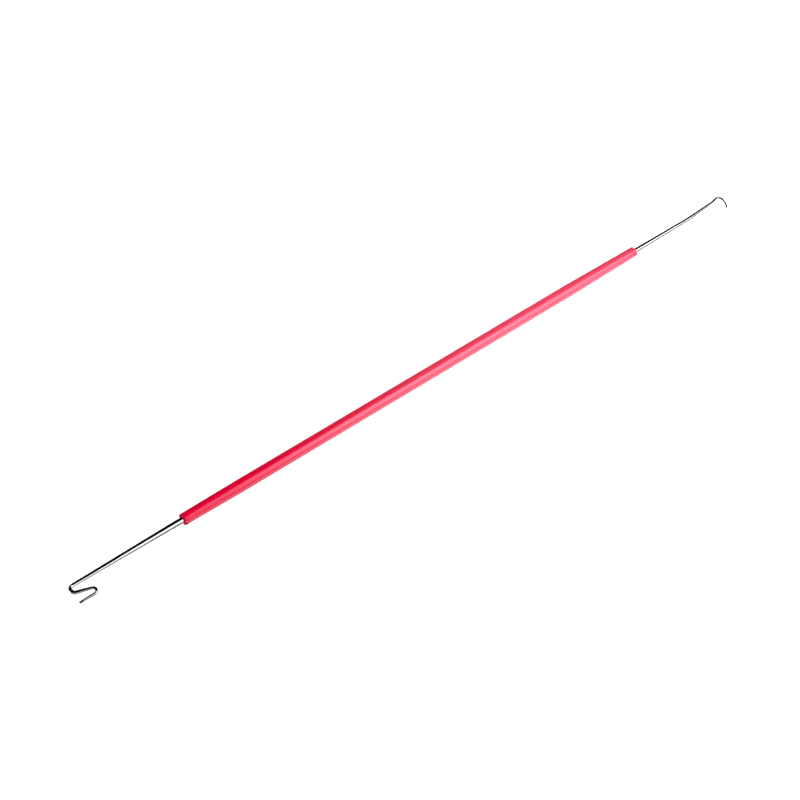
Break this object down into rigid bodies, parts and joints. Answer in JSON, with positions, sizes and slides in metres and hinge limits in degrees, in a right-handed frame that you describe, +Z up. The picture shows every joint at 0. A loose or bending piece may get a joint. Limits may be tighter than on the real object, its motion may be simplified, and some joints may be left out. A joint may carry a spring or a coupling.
{
  "type": "spring puller tool",
  "caption": "Slim hand tool for hooking springs: a tapered steel wire with an S-shaped push-pull hook at one end, a C-shaped pull hook at the other and a smooth red grip sleeve between.",
  "frame": {"origin": "on the surface that the tool lies on, under the middle of its box", "axes": "+X along the tool from the push-pull hook to the pull hook, both hooks point to -Y, +Z up"},
  "size_m": [0.2247, 0.0066, 0.0036],
  "materials": {
    "spring_steel": "bright, polished lengthwise",
    "grip_vinyl": "soft gloss"
  },
  "bodies": {
    "root": {"rod_shank": "spring_steel", "push_hook": "spring_steel", "pull_hook": "spring_steel", "grip_sleeve": "grip_vinyl"}
  },
  "joints": []
}
